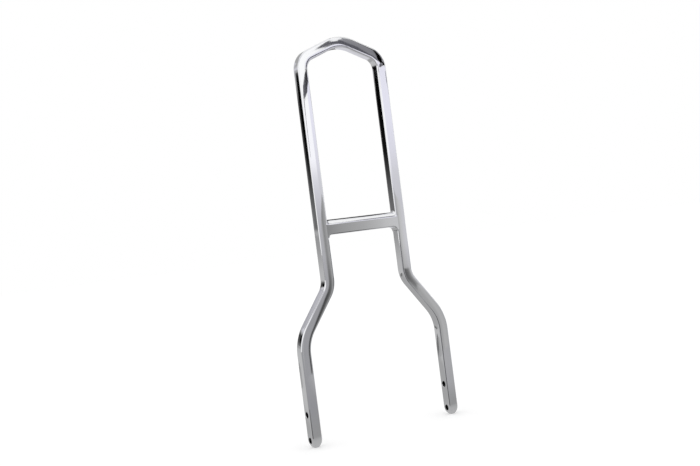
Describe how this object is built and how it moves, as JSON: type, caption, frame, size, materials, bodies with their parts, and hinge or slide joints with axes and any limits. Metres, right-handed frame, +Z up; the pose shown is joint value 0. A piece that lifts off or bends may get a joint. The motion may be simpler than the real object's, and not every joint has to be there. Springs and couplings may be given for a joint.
{
  "type": "motorbike sissy bar",
  "caption": "Chromed square-bar backrest hoop with a peaked top, a welded crossbar and flared legs with bolt holes in their flats.",
  "frame": {"origin": "midway between the two legs, in the plane of the bar's centre line, at the height of the foot ends", "axes": "+Z up along the uprights, +X from the left leg to the right leg as the rider's side shows them, +Y away from the rider's side"},
  "size_m": [0.2488, 0.016, 0.5759],
  "materials": {
    "hoop_chrome": "polished chrome plate",
    "crossbar_chrome": "polished chrome plate"
  },
  "bodies": {
    "root": {"hoop": "hoop_chrome", "crossbar": "crossbar_chrome"}
  },
  "joints": []
}
